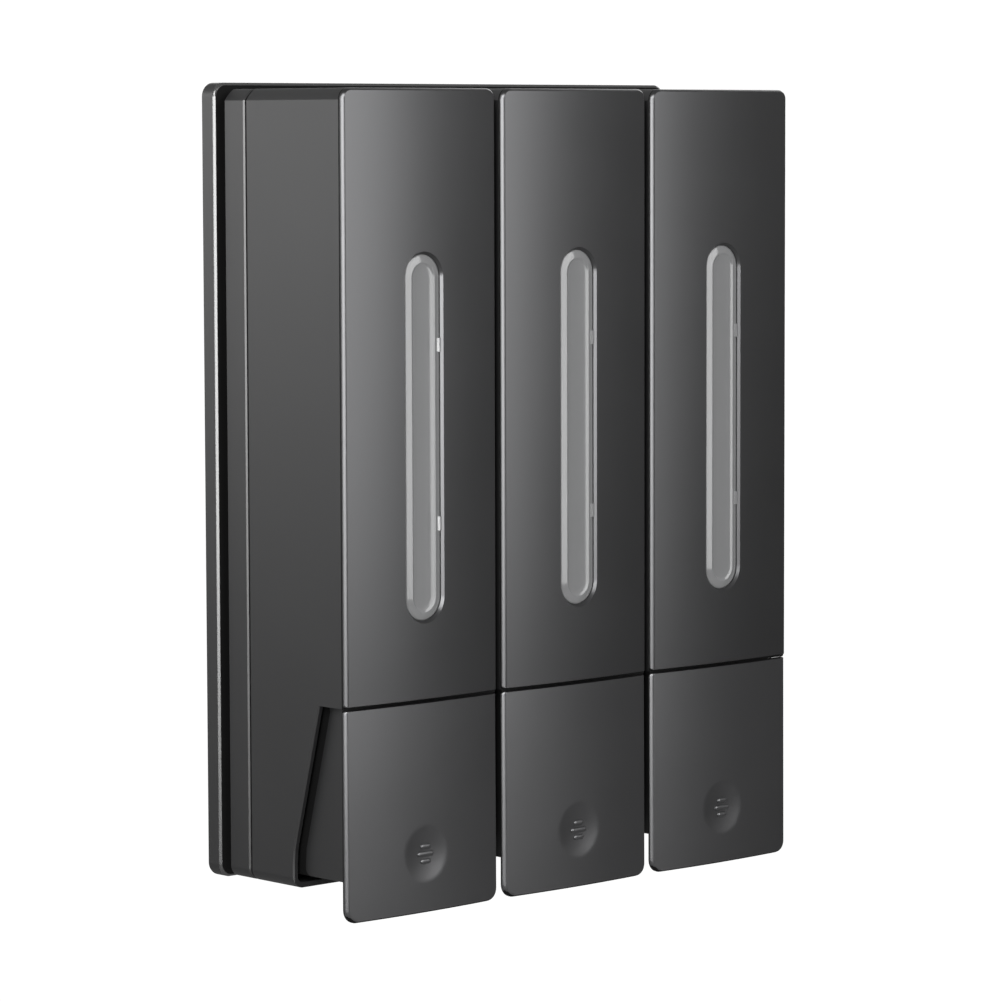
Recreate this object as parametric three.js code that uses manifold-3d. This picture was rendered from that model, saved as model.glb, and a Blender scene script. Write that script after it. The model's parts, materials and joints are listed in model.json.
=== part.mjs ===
// Wall-mounted soap dispenser: three identical push-panel units side by side on one wall plate.
// Millimetres. The origin is the centre of the wall plate's back face, the wall is the plane y = 0,
// +Z is up and the front of the dispenser faces -Y. Depths are therefore negative y values.
import * as THREE from "three";
import { mergeVertices } from "three/addons/utils/BufferGeometryUtils.js";
import Module from "manifold-3d";

const wasm = await Module();
wasm.setup();

// ---------------------------------------------------------------- driving dimensions
const UNIT_COUNT = 3;
const UNIT_PITCH = 63.2; // centre to centre
const FIT_GAP = 0.3; // between pieces that rest on each other
const PIN_GAP = 0.1; // round a pin in its bore
const PAST = 60; // how far cutting tools reach beyond the piece they cut
const ROUND_SEGMENTS = 16; // facets round a full circle
const CORNER_SEGMENTS = 2; // half the facets of a quarter turn in an outline

const PLATE = { width: 190, height: 240, thickness: 5.9, corner: 4, bevel: 0.8 };
const SHELL = { width: 59.8, top: 118, bottom: -119.4, corner: 3, leastCorner: 0.8 }; // both shells' outline
const REAR = { back: -8.3, front: -17.6, wall: 2, padHalfWidth: 22, padHalfHeight: 95 };
const PUMP_SOCKET = { outer: 13.2, front: -16 }; // ring on the rear shell that holds the pump's end
const HOUSING = { back: -17.9, front: -60.9, wall: 2.2, frontWall: 1.8 };
const PANEL = { width: 60.8, back: -61.2, edge: -62.5, crown: -64, fillet: 0.9, seamCorner: 0.8 };
const PANEL_CORNER = { top: 3.3, bottom: 4.2 }; // the panel pair's outer corners
const PANEL_TOP = 118;
const PANEL_SPLIT = -63.3; // the line between the fixed panel and the push panel
const PANEL_BOTTOM = -127;
const SPLIT_GAP = 0.7;
const WINDOW = { width: 15.2, height: 109.7, middle: 15, flange: 1.9, lensFront: -63.5 };
const LENS_GROOVE = { inset: 1.1, width: 2, depth: 0.7 };
const DIMPLE = { radius: 8.3, depth: 1.2, z: -109.2 };
const RIB = { pitch: 2.25, height: 0.8, lengths: [4, 6.4, 4], sunk: 0.25, end: 0.39 }; // in the dimple

const TANK = { halfWidth: 26.2, back: -12.9, front: -58.2, bottom: -49.7, top: 104, wall: 1.6, corner: 4 };
const NECK = { halfWidth: 18, depth: 24, y: -39.5, top: 112, corner: 4 };
const SHELF = { top: -50, thickness: 2, front: -48 }; // the tank stands on it
const LID = { halfWidth: 24, hingeY: -24, front: -55, thickness: 2, clearance: 0.4, hingeRelief: 2.7 };
const LID_SKIRT = { halfWidth: 14, halfDepth: 9, depth: 2, corner: 3 };
const LID_EAR = { halfDepth: 2.5, low: 113.2, high: 116.5 }; // blocks that hold the lid pin's ends
const FINGER_NOTCH = { halfWidth: 6, reach: 2.2, depth: 1.2 };
const LID_PIN = { radius: 0.95, half: 26.4 };

const PRESS_PIVOT = { y: -54, z: -56 }; // lever hinge line, along X
const LEVER = { halfWidth: 26.4, wall: 2, frontWall: 2, bottom: -116, earRadius: 4, footRadius: 2.2 };
const LEVER_FOOT_Y = -42; // rear lower corner of the lever's side walls
const LEVER_SHOULDER_Y = -52.4; // their rear edge at the split line
const LEVER_BOSS_RADIUS = 3.4;
const PUSH_PAD = { radius: 5, height: 0.7 }; // bears on the piston's tip
const LEVER_PIN = { radius: 1.6, half: 28.6 };
const CUTOUT_LEAN = [ // rear edge of the side cut-out, from the split line down, as [y, z]
  [-50.2, PANEL_SPLIT],
  [-39.5, -103.4],
  [-38.3, -108.2],
  [-38.1, -112],
];

const PUMP = {
  y: -25,
  z: -90,
  outer: 11,
  bore: 8.6,
  back: -10.9,
  front: -48,
  endWall: 2.5,
  rimDepth: 2.5,
  rimRise: 1.5,
};
const PORT = { outer: 7.5, inner: 5.6, top: -59, bottom: -108 };
const PISTON = { radius: 8.3, back: -38, front: -43, rod: 3.5, tip: -57.9 };
const SPRING = { wire: 0.6, radius: 5.6, turns: 5 };
const SPIGOT = { outer: 5.2, inner: 3.4, end: -58 };
const GASKET = { low: -58.7, high: -56.6 };
const SEAL = { width: 1.8, height: 1.3 };
const NOZZLE = { tip: -121, radius: 4.6, tipRadius: 3.4, bore: 2 };

const HOOK_HEIGHTS = [60, -30]; // z of each unit's two hooks on the wall plate
const HOOK = { halfWidth: 5, thickness: 3, rise: 3, lip: 1.6, root: 0.5, sideGap: 0.5 };
const WALL_HOLE = { radius: 2.3, head: 4.4, sink: 2.2, x: UNIT_PITCH, z: 80 };
const UNIT_SCREW = { z: -62, radius: 1.45, head: 2.8, headHeight: 2, tip: -2.6 };

// ---------------------------------------------------------------- materials
const FINISHES = {
  satin_metal: { color: 0x4b4b4d, roughness: 0.38, metalness: 0.85 },
  dark_plastic: { color: 0x2b2b2c, roughness: 0.55, metalness: 0 },
  plate_plastic: { color: 0x303031, roughness: 0.45, metalness: 0.1 },
  clear_plastic: { color: 0xc9cdd0, roughness: 0.08, metalness: 0, transparent: true, opacity: 0.4 },
  frosted_plastic: { color: 0xb9bcbe, roughness: 0.35, metalness: 0, transparent: true, opacity: 0.7 },
  white_plastic: { color: 0xd8d8d4, roughness: 0.5, metalness: 0 },
  rubber: { color: 0x1c1c1c, roughness: 0.85, metalness: 0 },
  steel: { color: 0xa9abad, roughness: 0.3, metalness: 1 },
};

// ---------------------------------------------------------------- solids
function solidFrom(geometry, matrix = new THREE.Matrix4()) {
  const bare = geometry.clone().applyMatrix4(matrix);
  bare.deleteAttribute("normal");
  bare.deleteAttribute("uv");
  const merged = mergeVertices(bare, 1e-4);
  return new wasm.Manifold(
    new wasm.Mesh({
      numProp: 3,
      vertProperties: new Float32Array(merged.attributes.position.array),
      triVerts: new Uint32Array(merged.index.array),
    }),
  );
}

function geometryFrom(solid) {
  const mesh = solid.getMesh();
  const geometry = new THREE.BufferGeometry();
  geometry.setAttribute("position", new THREE.BufferAttribute(mesh.vertProperties, 3));
  geometry.setIndex(new THREE.BufferAttribute(mesh.triVerts, 1));
  geometry.computeVertexNormals();
  return geometry;
}

function join(...solids) {
  return solids.reduce((whole, piece) => whole.add(piece));
}

function cut(solid, ...tools) {
  return tools.reduce((rest, tool) => rest.subtract(tool), solid);
}

function box(x0, x1, y0, y1, z0, z1) {
  const geometry = new THREE.BoxGeometry(x1 - x0, y1 - y0, z1 - z0);
  const middle = new THREE.Matrix4().makeTranslation((x0 + x1) / 2, (y0 + y1) / 2, (z0 + z1) / 2);
  return solidFrom(geometry, middle);
}

// Local axes of an extrusion: the outline's x and y, and the direction it is pushed along.
const ALONG = {
  x: new THREE.Matrix4().makeBasis(axis(0, 1, 0), axis(0, 0, 1), axis(1, 0, 0)), // outline in (y, z)
  y: new THREE.Matrix4().makeBasis(axis(1, 0, 0), axis(0, 0, 1), axis(0, -1, 0)), // outline in (x, z)
  z: new THREE.Matrix4(), // outline in (x, y)
};

function axis(x, y, z) {
  return new THREE.Vector3(x, y, z);
}

// Pushes an outline from one coordinate to a higher one along X, Y or Z.
function extrude(shape, direction, low, high) {
  const geometry = new THREE.ExtrudeGeometry(shape, {
    depth: high - low,
    bevelEnabled: false,
    curveSegments: CORNER_SEGMENTS,
  });
  const start = direction === "y" ? axis(0, high, 0) : axis(0, 0, low);
  if (direction === "x") start.set(low, 0, 0);
  return solidFrom(geometry, new THREE.Matrix4().makeTranslation(start).multiply(ALONG[direction]));
}

// A cylinder, or a cone where the radii differ, between two coordinates; at = the other two coordinates.
function rod(direction, low, high, radius, at, highRadius = radius) {
  const geometry = new THREE.CylinderGeometry(highRadius, radius, high - low, ROUND_SEGMENTS);
  const middle = (low + high) / 2;
  const turn = new THREE.Matrix4();
  const place = { x: [middle, ...at], y: [at[0], middle, at[1]], z: [...at, middle] }[direction];
  if (direction === "x") turn.makeRotationZ(-Math.PI / 2);
  if (direction === "z") turn.makeRotationX(Math.PI / 2);
  return solidFrom(geometry, new THREE.Matrix4().makeTranslation(...place).multiply(turn));
}

function tube(direction, low, high, outer, inner, at) {
  return cut(rod(direction, low, high, outer, at), rod(direction, low - 1, high + 1, inner, at));
}

// A (radius, height) profile turned round a line along Z through (0, at) or along Y through (0, at).
function turned(profile, direction, at) {
  const points = profile.map(([radius, height]) => new THREE.Vector2(radius, height));
  const closed = points[0].x > 0 ? [...points, points[0]] : points;
  const geometry = new THREE.LatheGeometry(closed, ROUND_SEGMENTS);
  const turn = new THREE.Matrix4();
  const place = direction === "z" ? [0, at, 0] : [0, 0, at];
  if (direction === "z") turn.makeRotationX(Math.PI / 2);
  return solidFrom(geometry, new THREE.Matrix4().makeTranslation(...place).multiply(turn));
}

function roundedRectangle(left, right, low, high, radius, topRadius = radius) {
  const shape = new THREE.Shape();
  shape.moveTo(left + radius, low);
  shape.lineTo(right - radius, low);
  shape.absarc(right - radius, low + radius, radius, -Math.PI / 2, 0);
  shape.lineTo(right, high - topRadius);
  shape.absarc(right - topRadius, high - topRadius, topRadius, 0, Math.PI / 2);
  shape.lineTo(left + topRadius, high);
  shape.absarc(left + topRadius, high - topRadius, topRadius, Math.PI / 2, Math.PI);
  shape.lineTo(left, low + radius);
  shape.absarc(left + radius, low + radius, radius, Math.PI, 1.5 * Math.PI);
  return shape;
}

function polygon(points) {
  return new THREE.Shape(points.map(([x, y]) => new THREE.Vector2(x, y)));
}

// A slot with full round ends, centred on the window's middle height.
function windowOutline(width, height) {
  const half = height / 2;
  return roundedRectangle(-width / 2, width / 2, WINDOW.middle - half, WINDOW.middle + half, width / 2);
}

// ---------------------------------------------------------------- shared wall plate
function wallPlate() {
  const { width, height, thickness, corner, bevel } = PLATE;
  const outline = (inset) =>
    roundedRectangle(inset - width / 2, width / 2 - inset, inset - height / 2, height / 2 - inset, corner);
  let plate = join(
    extrude(outline(0), "y", bevel - thickness, 0),
    extrude(outline(bevel), "y", -thickness, bevel - thickness),
  );
  for (let unit = 0; unit < UNIT_COUNT; unit += 1) {
    for (const z of HOOK_HEIGHTS) plate = plate.add(hook(unitX(unit), z));
    const pilotEnd = UNIT_SCREW.tip + FIT_GAP;
    const pilotRadius = UNIT_SCREW.radius + FIT_GAP;
    plate = plate.subtract(rod("y", -PAST, pilotEnd, pilotRadius, [unitX(unit), UNIT_SCREW.z]));
  }
  for (const x of [-WALL_HOLE.x, WALL_HOLE.x])
    for (const z of [-WALL_HOLE.z, WALL_HOLE.z]) {
      const { radius, head, sink } = WALL_HOLE;
      const through = rod("y", -PAST, PAST, radius, [x, z]);
      const countersink = rod("y", -thickness - 0.01, sink - thickness, head, [x, z], radius);
      plate = cut(plate, through, countersink);
    }
  return plate;
}

// A stem through the rear shell's slot with an upturned lip behind its back wall.
function hook(x, z) {
  const lipBack = REAR.back - REAR.wall - FIT_GAP;
  const { halfWidth, thickness, rise, lip, root } = HOOK;
  const front = lipBack - lip;
  return join(
    box(x - halfWidth, x + halfWidth, front, root - PLATE.thickness, z, z + thickness),
    box(x - halfWidth, x + halfWidth, front, lipBack, z, z + thickness + rise),
  );
}

function unitX(unit) {
  return (unit - (UNIT_COUNT - 1) / 2) * UNIT_PITCH;
}

// ---------------------------------------------------------------- one unit, centred on x = 0
function shellOutline(inset) {
  const half = SHELL.width / 2 - inset;
  const corner = Math.max(SHELL.corner - inset, SHELL.leastCorner);
  return roundedRectangle(-half, half, SHELL.bottom + inset, SHELL.top - inset, corner);
}

function rearShell() {
  const { back, front, wall, padHalfWidth, padHalfHeight } = REAR;
  const innerBack = back - wall;
  const padBack = -PLATE.thickness - FIT_GAP;
  const shell = join(
    extrude(shellOutline(0), "y", front, back),
    box(-padHalfWidth, padHalfWidth, back - wall / 2, padBack, -padHalfHeight, padHalfHeight),
  );
  const slotHalf = HOOK.halfWidth + HOOK.sideGap;
  const slots = HOOK_HEIGHTS.map((z) => {
    const low = z - HOOK.rise - HOOK.thickness;
    return box(-slotHalf, slotHalf, innerBack - wall, PAST, low, z + HOOK.thickness + FIT_GAP);
  });
  const hollowed = cut(
    shell,
    extrude(shellOutline(wall), "y", -PAST, innerBack),
    rod("y", -PAST, PAST, UNIT_SCREW.radius + FIT_GAP, [0, UNIT_SCREW.z]),
    ...slots,
  );
  const innerRadius = PUMP.outer + FIT_GAP;
  const { outer, front: socketFront } = PUMP_SOCKET;
  return hollowed.add(tube("y", socketFront, innerBack + wall / 2, outer, innerRadius, [0, PUMP.z]));
}

function housing() {
  const { wall, frontWall, front, back } = HOUSING;
  const inner = SHELL.width / 2 - wall / 2; // added blocks end inside the side walls
  const lidEdge = LID.halfWidth + LID.clearance;
  const lidLine = [LID.hingeY, SHELL.top - LID.thickness];
  const pressLine = [PRESS_PIVOT.y, PRESS_PIVOT.z];
  const [lastY] = CUTOUT_LEAN[CUTOUT_LEAN.length - 1];
  const below = -PAST * 3;
  const cutout = polygon([[-PAST * 2, PANEL_SPLIT], ...CUTOUT_LEAN, [lastY, below], [-PAST * 2, below]]);
  const seat = 2 * WINDOW.flange + 0.2; // the lens flange sits in the front wall
  const opening = windowOutline(WINDOW.width + seat, WINDOW.height + seat);
  const lidBack = LID.hingeY + LID.hingeRelief; // room for the lid's rear edge as it swings up
  const walls = cut(
    extrude(shellOutline(0), "y", front, back),
    extrude(shellOutline(wall), "y", front + frontWall, PAST),
    extrude(cutout, "x", -PAST, PAST),
    extrude(opening, "y", -PAST * 2, front + PAST / 2),
    box(-lidEdge, lidEdge, LID.front - LID.clearance, LID.hingeY, lidLine[1] - 3, PAST * 3),
    box(-lidEdge, lidEdge, LID.hingeY, lidBack, lidLine[1], PAST * 3),
    rod("x", -lidEdge, lidEdge, LID.hingeRelief, lidLine),
    fingerNotch(),
    rod("z", below, SHELL.bottom + 2 * wall, NOZZLE.radius + 1, [0, PUMP.y]),
  );
  const shelfLow = SHELF.top - SHELF.thickness;
  const shelf = cut(
    box(-inner, inner, SHELF.front, back - wall, shelfLow, SHELF.top),
    rod("z", shelfLow - 1, SHELF.top + 1, SPIGOT.outer + 0.8, [0, PUMP.y]),
  );
  const bossNear = LEVER.halfWidth + 0.4;
  const earRow = [LID.hingeY - LID_EAR.halfDepth, LID.hingeY + LID_EAR.halfDepth, LID_EAR.low, LID_EAR.high];
  let body = walls.add(shelf);
  for (const side of [-1, 1]) {
    body = body.add(sideBlock(side, lidEdge, inner, ...earRow));
    body = body.add(sideRod(side, bossNear, inner, LEVER_BOSS_RADIUS, pressLine));
    body = body.subtract(sideRod(side, 0, LEVER_PIN.half + FIT_GAP, LEVER_PIN.radius + PIN_GAP, pressLine));
    body = body.subtract(sideRod(side, 0, LID_PIN.half + FIT_GAP, LID_PIN.radius + PIN_GAP, lidLine));
  }
  return body;
}

// A step in the top wall in front of the lid, so a fingertip can lift it.
function fingerNotch() {
  const { halfWidth, reach, depth } = FINGER_NOTCH;
  return box(-halfWidth, halfWidth, LID.front - reach, LID.front, SHELL.top - depth, SHELL.top + 1);
}

// A box or a rod that reaches outward from the unit's middle, on the left (-1) or the right (1).
function sideBlock(side, near, far, y0, y1, z0, z1) {
  return side > 0 ? box(near, far, y0, y1, z0, z1) : box(-far, -near, y0, y1, z0, z1);
}

function sideRod(side, near, far, radius, at) {
  return side > 0 ? rod("x", near, far, radius, at) : rod("x", -far, -near, radius, at);
}

// Plan section of a metal panel: flat back, gently bowed front, rounded long edges.
function panelSection() {
  const half = PANEL.width / 2;
  const { back, edge, crown, fillet } = PANEL;
  const rise = edge - crown;
  const bowRadius = (half * half + rise * rise) / (2 * rise);
  const bow = (x) => crown + bowRadius - Math.sqrt(bowRadius * bowRadius - x * x);
  const steps = 6;
  const front = Array.from({ length: steps + 1 }, (_, i) => {
    const x = (half - fillet) * (1 - (2 * i) / steps);
    return [x, bow(x)];
  });
  const softEdge = (side) => [
    [side * half, edge + fillet],
    [side * (half - fillet * 0.3), edge + fillet * 0.3],
  ];
  const leftToRight = [...softEdge(-1), ...front.reverse(), ...softEdge(1).reverse()];
  return polygon([[-half, back], ...leftToRight, [half, back]].reverse());
}

function metalPanel(low, high, lowCorner, highCorner) {
  const half = PANEL.width / 2;
  const face = roundedRectangle(-half, half, low, high, lowCorner, highCorner);
  return extrude(panelSection(), "z", low - 1, high + 1).intersect(extrude(face, "y", -PAST * 2, 0));
}

function frontPanel() {
  const panel = metalPanel(PANEL_SPLIT + SPLIT_GAP / 2, PANEL_TOP, PANEL.seamCorner, PANEL_CORNER.top);
  return panel.subtract(extrude(windowOutline(WINDOW.width, WINDOW.height), "y", -PAST * 2, 0));
}

// The push panel has a shallow thumb dimple with three short grip ribs standing in it.
function pushPanel() {
  const panel = metalPanel(PANEL_BOTTOM, PANEL_SPLIT - SPLIT_GAP / 2, PANEL_CORNER.bottom, PANEL.seamCorner);
  const { radius, depth } = DIMPLE;
  const dish = [0.5, 0.8, 1].map((share) => [radius * share, PANEL.crown + depth * (1 - share * share)]);
  const outside = PANEL.crown - 2;
  let pressed = panel.subtract(
    turned([[0, outside], [radius, outside], ...dish.reverse(), [0, PANEL.crown + depth]], "y", DIMPLE.z),
  );
  RIB.lengths.forEach((length, row) => {
    const z = DIMPLE.z + (1 - row) * RIB.pitch;
    const back = PANEL.crown + DIMPLE.depth + 0.5;
    const rib = roundedRectangle(-length / 2, length / 2, z - RIB.height / 2, z + RIB.height / 2, RIB.end);
    pressed = pressed.add(extrude(rib, "y", PANEL.crown + RIB.sunk, back));
  });
  return pressed;
}

function windowLens() {
  const slot = { width: WINDOW.width - 2 * FIT_GAP, height: WINDOW.height - 2 * FIT_GAP };
  const { inset, width, depth } = LENS_GROOVE;
  const ring = (margin) => windowOutline(slot.width - 2 * margin, slot.height - 2 * margin);
  const flangeSize = 2 * (WINDOW.flange - FIT_GAP);
  const flange = windowOutline(WINDOW.width + flangeSize, WINDOW.height + flangeSize);
  const body = join(
    extrude(flange, "y", HOUSING.front, HOUSING.front + HOUSING.frontWall),
    extrude(ring(0), "y", WINDOW.lensFront, HOUSING.front + 0.5),
  );
  const groove = extrude(ring(inset), "y", -PAST * 2, WINDOW.lensFront + depth);
  return body.subtract(groove.subtract(extrude(ring(inset + width), "y", -PAST * 3, 0)));
}

// Plan outline of the filler neck, drawn in by an inset.
function neckOutline(inset) {
  const { halfWidth, depth, y, corner } = NECK;
  const low = y - depth / 2 + inset;
  return roundedRectangle(inset - halfWidth, halfWidth - inset, low, y + depth / 2 - inset, corner - inset);
}

function tank() {
  const { halfWidth, back, front, bottom, top, wall, corner } = TANK;
  const plan = (inset) =>
    roundedRectangle(inset - halfWidth, halfWidth - inset, front + inset, back - inset, corner - inset);
  return cut(
    join(
      extrude(plan(0), "z", bottom, top),
      extrude(neckOutline(0), "z", top - 1, NECK.top),
      rod("z", SPIGOT.end, bottom + 1, SPIGOT.outer, [0, PUMP.y]),
    ),
    extrude(plan(wall), "z", bottom + wall, top - wall),
    extrude(neckOutline(wall), "z", top - wall - 1, NECK.top + 1),
    rod("z", SPIGOT.end - 1, bottom + wall + 1, SPIGOT.inner, [0, PUMP.y]),
  );
}

function tankGasket() {
  const { low, high } = GASKET;
  return tube("z", low, high, PORT.outer, SPIGOT.outer + FIT_GAP, [0, PUMP.y]);
}

function lidSeal() {
  const low = NECK.top + FIT_GAP;
  const ring = extrude(neckOutline(0), "z", low, low + SEAL.height);
  return ring.subtract(extrude(neckOutline(SEAL.width), "z", low - 1, low + SEAL.height + 1));
}

function fillLid() {
  const { halfWidth, hingeY, front, thickness } = LID;
  const low = SHELL.top - thickness;
  const { halfWidth: reach, halfDepth, depth, corner } = LID_SKIRT;
  const skirt = roundedRectangle(-reach, reach, NECK.y - halfDepth, NECK.y + halfDepth, corner);
  return join(
    extrude(roundedRectangle(-halfWidth, halfWidth, front, hingeY, SHELL.leastCorner), "z", low, SHELL.top),
    rod("x", -halfWidth, halfWidth, thickness, [hingeY, low]),
    extrude(skirt, "z", low - depth, low + thickness / 4),
  ).subtract(rod("x", -PAST, PAST, LID_PIN.radius + PIN_GAP, [hingeY, low]));
}

function lidPin() {
  return rod("x", -LID_PIN.half, LID_PIN.half, LID_PIN.radius, [LID.hingeY, SHELL.top - LID.thickness]);
}

// An open-backed tray that carries the push panel and hangs from the lever pin by two ears.
function pushLever() {
  const { halfWidth, wall, frontWall, bottom, earRadius, footRadius } = LEVER;
  const face = HOUSING.front;
  const top = PANEL_SPLIT - SPLIT_GAP - 1;
  const { y, z } = PRESS_PIVOT;
  const profile = new THREE.Shape();
  profile.moveTo(face, bottom);
  profile.lineTo(LEVER_FOOT_Y, bottom + 0.6);
  profile.absarc(LEVER_FOOT_Y, bottom + 0.6 + footRadius, footRadius, -Math.PI / 2, 0);
  profile.lineTo(LEVER_SHOULDER_Y, PANEL_SPLIT);
  profile.lineTo(y + earRadius, z);
  profile.absarc(y, z, earRadius, 0, Math.PI);
  profile.lineTo(y - earRadius, top + 1.5);
  profile.lineTo(face, top);
  const tray = extrude(profile, "x", -halfWidth, halfWidth);
  const inside = box(wall - halfWidth, halfWidth - wall, face + frontWall, 0, -PAST * 3, z + earRadius + 1);
  const padFace = face + frontWall + PUSH_PAD.height;
  return cut(
    join(tray.subtract(inside), rod("y", face + frontWall / 2, padFace, PUSH_PAD.radius, [0, PUMP.z])),
    rod("x", -PAST, PAST, LEVER_PIN.radius + PIN_GAP, [y, z]),
  );
}

function leverPin() {
  return rod("x", -LEVER_PIN.half, LEVER_PIN.half, LEVER_PIN.radius, [PRESS_PIVOT.y, PRESS_PIVOT.z]);
}

function pumpBody() {
  const barrel = join(
    rod("y", PUMP.front, PUMP.back, PUMP.outer, [0, PUMP.z]),
    rod("y", PUMP.front, PUMP.front + PUMP.rimDepth, PUMP.outer + PUMP.rimRise, [0, PUMP.z]),
    rod("z", PUMP.z + PUMP.outer / 2, PORT.top, PORT.outer, [0, PUMP.y]),
    rod("z", PORT.bottom, PUMP.z - PUMP.outer / 2, PORT.outer, [0, PUMP.y]),
  );
  return cut(
    barrel,
    rod("y", PUMP.front - 1, PUMP.back - PUMP.endWall, PUMP.bore, [0, PUMP.z]),
    rod("z", PUMP.z + PUMP.outer - 0.5, PORT.top + 1, PORT.inner, [0, PUMP.y]),
    rod("z", PORT.bottom - 1, PUMP.z - PUMP.outer - 0.5, PORT.inner, [0, PUMP.y]),
    rod("z", PUMP.z - PUMP.outer - 2, PUMP.z + PUMP.outer, NOZZLE.bore, [0, PUMP.y]),
  );
}

// Soft duckbill that lets soap down into the pump chamber and shuts when the chamber is squeezed.
function inletValve() {
  const seat = PUMP.z + PUMP.outer - 0.5 + FIT_GAP;
  return turned(
    [
      [0.5, seat - 2],
      [1.5, seat - 2],
      [1.7, seat],
      [PORT.inner - FIT_GAP, seat],
      [PORT.inner - FIT_GAP, seat + 1.2],
      [0.5, seat + 1.2],
    ],
    "z",
    PUMP.y,
  );
}

function piston() {
  const { radius, back, front, rod: stem, tip } = PISTON;
  const grooveFloor = radius - 1.2;
  return turned(
    [
      [0, tip],
      [stem * 0.6, tip + 0.4],
      [stem, tip + 1.4],
      [stem, front],
      [radius, front],
      [radius, front + 1.6],
      [grooveFloor, front + 1.6],
      [grooveFloor, back - 1.6],
      [radius, back - 1.6],
      [radius, back],
      [0, back],
    ],
    "y",
    PUMP.z,
  );
}

function pistonSeal() {
  const { radius, back, front } = PISTON;
  return tube("y", front + 1.7, back - 1.7, PUMP.bore - 0.05, radius - 1.1, [0, PUMP.z]);
}

class Helix extends THREE.Curve {
  constructor(radius, low, high, turns) {
    super();
    Object.assign(this, { radius, low, high, turns });
  }
  getPoint(t, target = new THREE.Vector3()) {
    const angle = t * this.turns * 2 * Math.PI;
    return target.set(
      this.radius * Math.cos(angle),
      THREE.MathUtils.lerp(this.low, this.high, t),
      this.radius * Math.sin(angle),
    );
  }
}

function pumpSpring() {
  const clear = FIT_GAP + SPRING.wire;
  const path = new Helix(SPRING.radius, PISTON.back + clear, PUMP.back - PUMP.endWall - clear, SPRING.turns);
  const wire = new THREE.Shape();
  wire.absarc(0, 0, SPRING.wire, 0, 2 * Math.PI);
  const geometry = new THREE.ExtrudeGeometry(wire, {
    steps: SPRING.turns * 8,
    curveSegments: 2,
    extrudePath: path,
  });
  return solidFrom(geometry, new THREE.Matrix4().makeTranslation(0, 0, PUMP.z));
}

function nozzle() {
  const { tip, radius, tipRadius, bore } = NOZZLE;
  const flange = PORT.bottom - FIT_GAP;
  return turned(
    [
      [bore, tip],
      [tipRadius, tip],
      [radius, tip + 4],
      [radius, flange - 2],
      [PORT.outer, flange - 2],
      [PORT.outer, flange],
      [PORT.inner - FIT_GAP, flange],
      [PORT.inner - FIT_GAP, flange + 5],
      [bore, flange + 5],
    ],
    "z",
    PUMP.y,
  );
}

function unitScrew() {
  const headBack = REAR.back - REAR.wall - FIT_GAP;
  const at = [0, UNIT_SCREW.z];
  const socket = new THREE.CylinderGeometry(1.3, 1.3, 2, 6);
  const place = new THREE.Matrix4().makeTranslation(0, headBack - UNIT_SCREW.headHeight, UNIT_SCREW.z);
  return cut(
    join(
      rod("y", headBack - UNIT_SCREW.headHeight, headBack, UNIT_SCREW.head - 0.5, at, UNIT_SCREW.head),
      rod("y", headBack - 0.5, UNIT_SCREW.tip, UNIT_SCREW.radius, at),
    ),
    solidFrom(socket, place),
  );
}

// ---------------------------------------------------------------- assembly
function addPiece(parent, name, solid, finish) {
  const material = new THREE.MeshStandardMaterial(FINISHES[finish]);
  const mesh = new THREE.Mesh(geometryFrom(solid), material);
  mesh.name = name;
  parent.add(mesh);
}

const UNIT_PIECES = [
  ["rear_shell", rearShell(), "dark_plastic"],
  ["housing", housing(), "dark_plastic"],
  ["front_panel", frontPanel(), "satin_metal"],
  ["window_lens", windowLens(), "clear_plastic"],
  ["tank", tank(), "frosted_plastic"],
  ["tank_gasket", tankGasket(), "rubber"],
  ["fill_lid", fillLid(), "dark_plastic"],
  ["lid_pin", lidPin(), "steel"],
  ["lid_seal", lidSeal(), "rubber"],
  ["push_lever", pushLever(), "dark_plastic"],
  ["push_panel", pushPanel(), "satin_metal"],
  ["lever_pin", leverPin(), "steel"],
  ["pump_body", pumpBody(), "white_plastic"],
  ["inlet_valve", inletValve(), "rubber"],
  ["piston", piston(), "white_plastic"],
  ["piston_seal", pistonSeal(), "rubber"],
  ["pump_spring", pumpSpring(), "steel"],
  ["nozzle", nozzle(), "dark_plastic"],
  ["unit_screw", unitScrew(), "steel"],
];

const dispenser = new THREE.Group();
addPiece(dispenser, "wall_plate", wallPlate(), "plate_plastic");
for (let unit = 0; unit < UNIT_COUNT; unit += 1) {
  const group = new THREE.Group();
  group.position.x = unitX(unit);
  for (const [name, solid, finish] of UNIT_PIECES) addPiece(group, `${name}_${unit + 1}`, solid, finish);
  dispenser.add(group);
}

export default dispenser;
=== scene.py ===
"""Looks of the wall-mounted soap dispenser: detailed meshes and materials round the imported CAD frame.

Lengths inside the script are millimetres in the frame's own axes (+Z up, the wall is y = 0, the front
faces -Y) and become metres when a mesh is made. The outer sizes come from the CAD nodes' boxes, and the
details are named values in the same axes.
"""

import json
import math

import bmesh
import bpy
from mathutils import Matrix, Vector


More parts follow.
